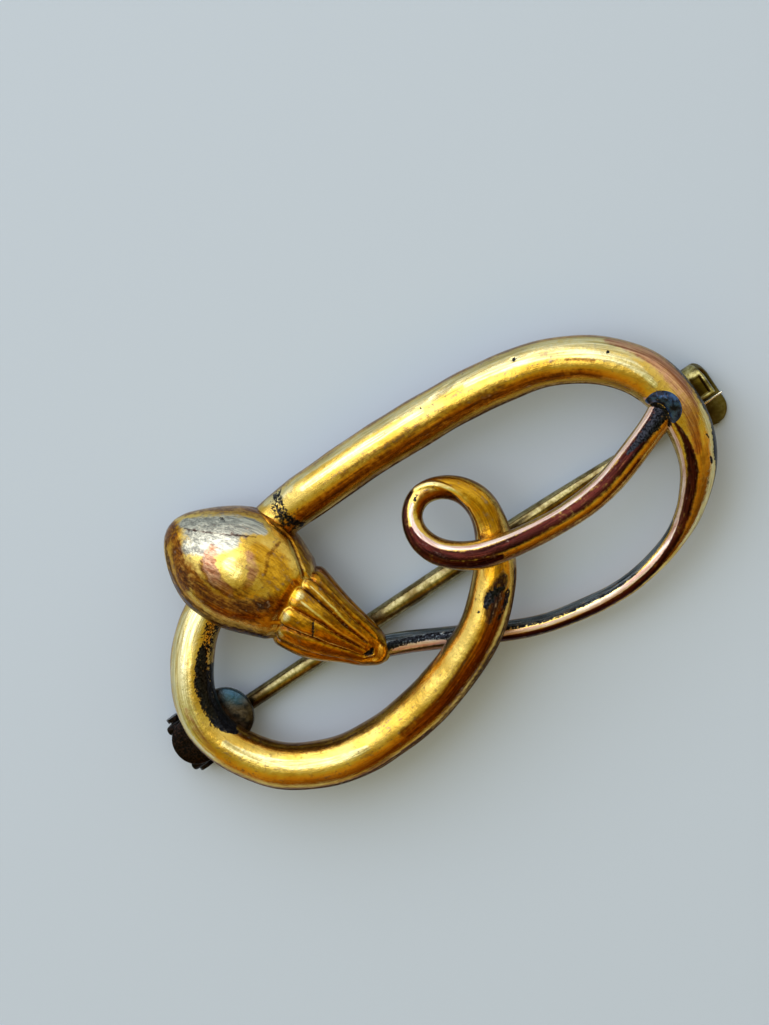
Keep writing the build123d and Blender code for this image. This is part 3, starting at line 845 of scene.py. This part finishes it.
def hinge_ear(name, side):
    """Ear that stands down from the plate and holds the rivet's end."""
    top = solder_level - plate_thickness / 2 - rivet_height
    outline = loop_of(arc((0, 0), rivet_height, 180, 360), [(rivet_height, top), (-rivet_height, top)])
    outline[:, 0] *= ear_reach / rivet_height
    near = ear_inner if side > 0 else -ear_inner - ear_thickness

    def to_place(rings):
        """Where the ear stands about the pin line."""
        along, up, out = np.moveaxis(rings, -1, 0)
        return np.stack([hinge_x + along, near + out, rivet_height + up], axis=-1)

    return slab(name, outline, ear_thickness, ear_rounding, to_place)


def window_side(places, ends):
    """1 between the window's ends along one side of the strip, and 0 outside them."""
    first, last = ends
    return smooth_step(first, first + window_edge, places) - smooth_step(last - window_edge, last, places)


def strip_section():
    """Points round the catch's strip: the sides of its flat core that each lies at, and its way out from
    there in mm."""
    section = []
    for quarter, (across, level) in enumerate(((1, 1), (-1, 1), (-1, -1), (1, -1))):
        for turn in np.radians(np.linspace(quarter * 90, quarter * 90 + 90, edge_points)):
            section.append((across, level, strip_rounding * math.cos(turn), strip_rounding * math.sin(turn)))
        if across == level:
            for share in np.linspace(strip_face_span, -strip_face_span, face_points):
                section.append((across * share, level, 0.0, level * strip_rounding))
    return np.array(section)


def catch():
    """Strip bent to a C round the pin, with its mouth towards -Y."""
    outer = solder_level / 2
    middle_line = outer - strip_thickness / 2
    bend_y = bend_reach - outer
    leg_y = np.linspace(-leg_reach, bend_y, leg_points)
    leg = np.column_stack([leg_y, np.full(leg_points, outer + middle_line)])
    bend = arc((bend_y, outer), middle_line, 90, -90, bend_points)
    lip_y = np.linspace(bend_y, -lip_reach, lip_points)
    lip = np.column_stack([lip_y, np.full(lip_points, outer - middle_line)])
    path = np.vstack([leg, bend[1:-1], lip])
    ahead = np.gradient(path, axis=0)
    ahead /= np.linalg.norm(ahead, axis=1)[:, None]
    out = np.stack([-ahead[:, 1], ahead[:, 0]], axis=1)
    to_end = np.full(len(path), strip_width)
    to_end[-lip_points:] = lip_y + lip_reach
    round_off = np.clip(1 - to_end / lip_corner, 0, 1)
    half = strip_width / 2 - lip_corner * (1 - np.sqrt(1 - round_off**2))
    past_bend = np.clip((path[:, 0] - bend_y) / middle_line, 0, 1)
    half -= bend_corner * (1 - np.sqrt(1 - past_bend**2))
    section = strip_section()
    across = section[:, 0] * (half[:, None] - strip_rounding) + section[:, 2]
    level = section[:, 1] * (strip_thickness / 2 - strip_rounding) + section[:, 3]
    window = window_side(across, window_x) * window_side(path[:, :1], window_y)
    window = window * (path[:, 1:] > outer) * (level > 0)
    level = level - window_depth * window
    y = path[:, :1] + out[:, :1] * level
    z = path[:, 1:] + out[:, 1:] * level
    grid = np.stack([catch_x + across, y, z], axis=-1)
    in_shade = np.where(path[:, 1:] < outer, lip_shade, 0.0)
    return skin("catch", grid, {"shade": np.maximum(window, in_shade)})


def linear(colour):
    """An sRGB hex colour as linear RGBA."""
    values = [int(colour[i:i + 2], 16) / 255 for i in (1, 3, 5)]
    return [v / 12.92 if v < 0.04045 else ((v + 0.055) / 1.055) ** 2.4 for v in values] + [1.0]


def add(tree, kind, sockets=None, output=None, **settings):
    """Adds a node with its settings, and values or links for its inputs; gives one of its outputs."""
    made = tree.nodes.new(kind)
    for name, value in settings.items():
        setattr(made, name, value)
    for name, value in (sockets or {}).items():
        named = [socket for socket in made.inputs if socket.enabled and socket.name == name]
        socket = named[0] if named else made.inputs[name]
        if isinstance(value, bpy.types.NodeSocket):
            tree.links.new(value, socket)
        else:
            socket.default_value = value
    shown = [socket for socket in made.outputs if socket.enabled and output in (None, socket.name)]
    return shown[0] if shown else None


def new_material(name):
    """New material with an empty node tree."""
    material = bpy.data.materials.new(name)
    material.use_nodes = True
    material.node_tree.nodes.clear()
    return material, material.node_tree


def grain(tree, across, along=None, detail=4.0, roughness=0.55):
    """Random pattern in grains of a size in mm, drawn out along the piece where a length is given too."""
    if along is None:
        spot = add(tree, "ShaderNodeTexCoord", output="Object")
        size = [across * MM] * 3
    else:
        spot = add(tree, "ShaderNodeAttribute", output="Vector", attribute_name="lie")
        size = [along, across, across]
    scaled = add(tree, "ShaderNodeVectorMath", {0: spot, 1: [1 / s for s in size]}, operation="MULTIPLY")
    return add(tree, "ShaderNodeTexNoise", {"Vector": scaled, "Scale": 1.0, "Detail": detail,
                                            "Roughness": roughness})


def tinted(tree, colour, tint, pattern, start, full, most=1.0):
    """A colour with a tint laid over it where a pattern passes from one level to another, up to a share."""
    share = add(tree, "ShaderNodeMapRange", {"Value": pattern, "From Min": start, "From Max": full,
                                             "To Max": most})
    return add(tree, "ShaderNodeMix", {"Factor": share, "A": colour, "B": tint}, data_type="RGBA")


def uneven_surface(tree, heights):
    """Normal of a surface whose patterns stand this many mm high."""
    total = 0.0
    for pattern, height in heights:
        total = add(tree, "ShaderNodeMath", {0: pattern, 1: height, 2: total}, operation="MULTIPLY_ADD")
    return add(tree, "ShaderNodeBump", {"Height": total, "Distance": MM, "Strength": 1.0})


def finish(tree, sockets):
    """Surface of a material, from values and links for its sockets."""
    surface = add(tree, "ShaderNodeBsdfPrincipled", sockets)
    add(tree, "ShaderNodeOutputMaterial", {"Surface": surface})


def worn_rolled_gold():
    """Rolled gold, a brass tube drawn with a skin of gold and polished by hand: it shines a deep yellow, with
    fine lengthwise scratches and small dents, a brown film where no cloth reaches that also darkens the edges
    as painted shade, and rose metal and crusts of black tarnish where the skin is worn through or was heated.
    Greyed, pale, bright and rose films laid on it in places are painted highlights and painted reflections,
    and dark bands along the tubes are painted reflections and painted shade. Real scratches are a few
    hundredths of a millimetre wide, too fine to show, and are drawn 0.09 mm wide."""
    material, tree = new_material("worn_rolled_gold")
    cloud = grain(tree, across=2.2, detail=3.0)
    dents = grain(tree, across=0.9, detail=2.0)
    mottle = grain(tree, across=0.30, detail=6.0, roughness=0.62)
    grit = grain(tree, across=0.11, detail=4.0, roughness=0.60)
    scratches = grain(tree, across=0.09, along=2.2, detail=5.0, roughness=0.65)
    streaks = grain(tree, across=0.30, along=3.5, detail=4.0, roughness=0.60)
    # Coarse, fine and finest pattern of a film that rubbing has drawn out, and of one that lies in grains
    patterns = {"drawn": (mottle, streaks, scratches), "gritty": (mottle, grit, grit)}
    colour = tinted(tree, linear("#EFCE70"), linear("#D8AE48"), cloud, start=0.38, full=0.62)
    colour = tinted(tree, colour, linear("#A0801E"), mottle, start=0.52, full=0.72, most=0.45)
    colour = tinted(tree, colour, linear("#8A601C"), scratches, start=0.56, full=0.70, most=0.5)
    roughness = add(tree, "ShaderNodeMapRange", {"Value": scratches, "From Min": 0.35, "From Max": 0.70,
                                                 "To Min": 0.13, "To Max": 0.30})
    metallic = 1.0
    for film in films:
        coarse, fine, finest = patterns[film.pattern]
        mask = add(tree, "ShaderNodeAttribute", output="Fac", attribute_name=film.kind)
        torn = add(tree, "ShaderNodeMath", {0: coarse, 1: fine}, operation="ADD")
        torn = add(tree, "ShaderNodeMath", {0: torn, 1: film.ragged, 2: mask}, operation="MULTIPLY_ADD")
        middle = film.ragged + mask_middle
        edge = {"Value": torn, "From Min": middle - film.soft, "From Max": middle + film.soft}
        share = add(tree, "ShaderNodeMapRange", edge, interpolation_type="SMOOTHSTEP")
        spread = add(tree, "ShaderNodeMath", {0: fine, 1: finest}, operation="ADD")
        coat = tinted(tree, linear(film.light), linear(film.dark), spread, start=0.82, full=1.16)
        colour = add(tree, "ShaderNodeMix", {"Factor": share, "A": colour, "B": coat}, data_type="RGBA")
        roughness = add(tree, "ShaderNodeMix", {"Factor": share, "A": roughness, "B": film.roughness})
        metallic = add(tree, "ShaderNodeMix", {"Factor": share, "A": metallic, "B": film.metallic})
    # The last film is the tarnish, which stands up as a crust
    crust = add(tree, "ShaderNodeMath", {0: share, 1: crust_height}, operation="MULTIPLY")
    heights = ((dents, 0.035), (mottle, 0.016), (grit, 0.004), (scratches, 0.006), (grit, crust))
    finish(tree, {"Base Color": colour, "Metallic": metallic, "Roughness": roughness,
                  "Specular IOR Level": dirt_glint, "Normal": uneven_surface(tree, heights)})
    return material


def frame_x(millimetres):
    """Place along the frame's X of a place along the pin line."""
    return float(place([(millimetres, 0, 0)])[0][0])


def oxidised_hinge_metal():
    """Nickel brass plate left as it was sawn and soldered: brown-grey, blued in one spot by the torch, and
    black outside the ring, as painted shade."""
    material, tree = new_material("oxidised_hinge_metal")
    mottle = grain(tree, across=0.5, detail=5.0)
    grit = grain(tree, across=0.12, detail=4.0)
    spot = add(tree, "ShaderNodeTexCoord", output="Object")
    x = add(tree, "ShaderNodeSeparateXYZ", {"Vector": spot}, output="X")
    blued = add(tree, "ShaderNodeAttribute", output="Fac", attribute_name="blued")
    shaded, bare = (frame_x(reach) for reach in painted_shade_reach)
    colour = tinted(tree, linear("#564C40"), linear("#1E1C1A"), mottle, start=0.40, full=0.62)
    colour = tinted(tree, colour, linear("#34566A"), blued, start=0.0, full=1.0, most=0.8)
    # Painted shade: black outside the ring's outer edge
    black = tinted(tree, linear("#070505"), linear("#34221C"), grit, start=0.45, full=0.70)
    colour = tinted(tree, colour, black, x, start=bare, full=shaded)
    heights = ((mottle, 0.05), (grit, 0.016))
    finish(tree, {"Base Color": colour, "Metallic": 0.9, "Roughness": 0.36,
                  "Normal": uneven_surface(tree, heights)})
    return material


def run_lead_solder():
    """Soft solder that ran and set by itself, then blackened: smooth and lumpy, and dark blue-grey in clouds,
    with a few faintly rose specks that are painted glints."""
    material, tree = new_material("run_lead_solder")
    mottle = grain(tree, across=0.55, detail=3.0)
    grit = grain(tree, across=0.10, detail=3.0)
    colour = tinted(tree, linear("#3E5E8E"), linear("#0A1020"), mottle, start=0.40, full=0.58)
    # Painted highlight: faintly rose glints
    colour = tinted(tree, colour, linear("#A8837A"), grit, start=0.62, full=0.74, most=0.5)
    heights = ((mottle, 0.012), (grit, 0.002))
    finish(tree, {"Base Color": colour, "Metallic": 0.7, "Roughness": 0.22,
                  "Normal": uneven_surface(tree, heights)})
    return material


def drawn_brass_wire():
    """Brass wire drawn through a plate and never plated: a greenish yellow grown pale with handling, slightly
    uneven, brown in patches and most at the hinge, and near white at its rubbed point, as a painted
    highlight."""
    material, tree = new_material("drawn_brass_wire")
    cloud = grain(tree, across=1.6, detail=4.0)
    mottle = grain(tree, across=0.25, detail=5.0)
    spot = add(tree, "ShaderNodeTexCoord", output="Object")
    x = add(tree, "ShaderNodeSeparateXYZ", {"Vector": spot}, output="X")
    brown, clean = (frame_x(reach) for reach in brown_reach)
    dull, bright = (frame_x(reach) for reach in rubbed_tip_highlight_reach)
    colour = tinted(tree, linear("#ABA076"), linear("#7C7244"), mottle, start=0.38, full=0.66)
    colour = tinted(tree, colour, linear("#5E4A26"), cloud, start=0.50, full=0.64, most=0.8)
    colour = tinted(tree, colour, linear("#2E1A0C"), x, start=clean, full=brown, most=0.85)
    # Painted highlight: near white at the point, where the catch rubs it
    colour = tinted(tree, colour, linear("#FBF6E6"), x, start=dull, full=bright)
    heights = ((mottle, 0.005),)
    finish(tree, {"Base Color": colour, "Metallic": 1.0, "Roughness": 0.26,
                  "Normal": uneven_surface(tree, heights)})
    return material


def rolled_brass_strip():
    """Brass strip, rolled flat and bent cold: a pale olive yellow, dull with fine pits, and darker in its
    clouded patches, in its window and on its lip."""
    material, tree = new_material("rolled_brass_strip")
    cloud = grain(tree, across=0.8, detail=4.0)
    mottle = grain(tree, across=0.18, detail=5.0)
    shade = add(tree, "ShaderNodeAttribute", output="Fac", attribute_name="shade")
    colour = tinted(tree, linear("#BDB27A"), linear("#857A40"), mottle, start=0.35, full=0.65)
    colour = tinted(tree, colour, linear("#4A4022"), cloud, start=0.48, full=0.62, most=0.85)
    colour = tinted(tree, colour, linear("#4A3C10"), shade, start=0.0, full=1.0)
    heights = ((cloud, 0.02), (mottle, 0.008))
    finish(tree, {"Base Color": colour, "Metallic": 1.0, "Roughness": 0.30,
                  "Normal": uneven_surface(tree, heights)})
    return material


def direction(azimuth, elevation):
    """Unit vector at an azimuth from +X towards +Y and an elevation, both in degrees."""
    turn, rise = math.radians(azimuth), math.radians(elevation)
    return Vector((math.cos(rise) * math.cos(turn), math.cos(rise) * math.sin(turn), math.sin(rise)))


def facing(back, upright):
    """Rotation that looks against back, with upright towards the top."""
    right = upright.cross(back).normalized()
    return Matrix((right, back.cross(right), back)).transposed().to_4x4()


def camera():
    """Camera at the angle from which the brooch is seen."""
    made = bpy.data.cameras.new("camera")
    made.sensor_fit = "HORIZONTAL"
    made.sensor_width = sensor_width
    made.lens = sensor_width * focal_pixels / picture_width
    made.clip_start = MM
    eye = bpy.data.objects.new("camera", made)
    back = direction(camera_azimuth, camera_elevation)
    spot = Vector(place([camera_aim])[0]) + back * (camera_distance * MM)
    eye.matrix_world = Matrix.Translation(spot) @ facing(back, direction(camera_upright, 0))
    bpy.context.scene.collection.objects.link(eye)
    bpy.context.scene.camera = eye


def lights():
    """Softboxes of the studio, each with the energy that gives its face its brightness."""
    for box in softboxes:
        lamp = bpy.data.lights.new(box.name, "AREA")
        lamp.shape = "RECTANGLE"
        lamp.size = box.wide * MM
        lamp.size_y = box.tall * MM
        lamp.energy = box.brightness * math.pi * lamp.size * lamp.size_y
        lamp.color = linear(box.colour)[:3]
        stand = bpy.data.objects.new(box.name, lamp)
        back = direction(box.azimuth, box.elevation)
        stand.matrix_world = Matrix.Translation(back * (box.distance * MM)) @ facing(back, Vector((0, 0, 1)))
        bpy.context.scene.collection.objects.link(stand)


def studio():
    """Walls that go from a bright window to a dim, warm side."""
    world = bpy.data.worlds.new("studio")
    bpy.context.scene.world = world
    world.use_nodes = True
    tree = world.node_tree
    tree.nodes.clear()
    way = add(tree, "ShaderNodeTexCoord", output="Generated")
    towards = add(tree, "ShaderNodeVectorMath", {0: way, 1: direction(*window_way)}, operation="DOT_PRODUCT")
    share = add(tree, "ShaderNodeMapRange", {"Value": towards, "From Min": -1.0})
    colour = add(tree, "ShaderNodeValToRGB", {"Fac": share}, output="Color")
    ramp = colour.node.color_ramp
    for wall in walls[1:-1]:
        ramp.elements.new(wall.place)
    for element, wall in zip(ramp.elements, walls):
        element.position = wall.place
        element.color = linear(wall.colour)
    background = add(tree, "ShaderNodeBackground", {"Color": colour, "Strength": wall_brightness})
    add(tree, "ShaderNodeOutputWorld", {"Surface": background})


def floor():
    """Floor of pale blue paper, matt as it left the mill: it takes a soft shadow and has no gloss."""
    mesh = bpy.data.meshes.new("floor")
    corners = [(x * floor_reach, y * floor_reach, 0) for x, y in ((-1, -1), (1, -1), (1, 1), (-1, 1))]
    mesh.from_pydata(corners, [], [(0, 1, 2, 3)])
    made = bpy.data.objects.new("floor", mesh)
    bpy.context.scene.collection.objects.link(made)
    material, tree = new_material("pale_floor")
    finish(tree, {"Base Color": linear("#C2D0E6"), "Roughness": 0.9})
    mesh.materials.append(material)


camera()
lights()
studio()
floor()
bpy.context.scene.view_settings.view_transform = "Standard"

gold = worn_rolled_gold()
oxidised = oxidised_hinge_metal()
solder = run_lead_solder()
drawn_brass = drawn_brass_wire()
strip_brass = rolled_brass_strip()

made_pieces = [
    (head(), gold, "rolled_gold"),
    (strand("upper_strand", upper_stations()), gold, "rolled_gold"),
    (strand("lower_strand", lower_stations()), gold, "rolled_gold"),
    (solder_bead(), solder, "solder_grey"),
    (hinge_plate(), oxidised, "hinge_grey"),
    (hinge_ear("left_ear", 1), oxidised, "hinge_grey"),
    (hinge_ear("right_ear", -1), oxidised, "hinge_grey"),
    (catch(), strip_brass, "catch_brass"),
]
for piece, material, slot in made_pieces:
    piece.data.materials.append(material)
    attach(piece, "brooch")
    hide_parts("snake_body")

for node, material in (("pin_stem", drawn_brass), ("hinge_rivet", oxidised)):
    carried = frame["nodes"][node]
    carried.data.materials.clear()
    carried.data.materials.append(material)
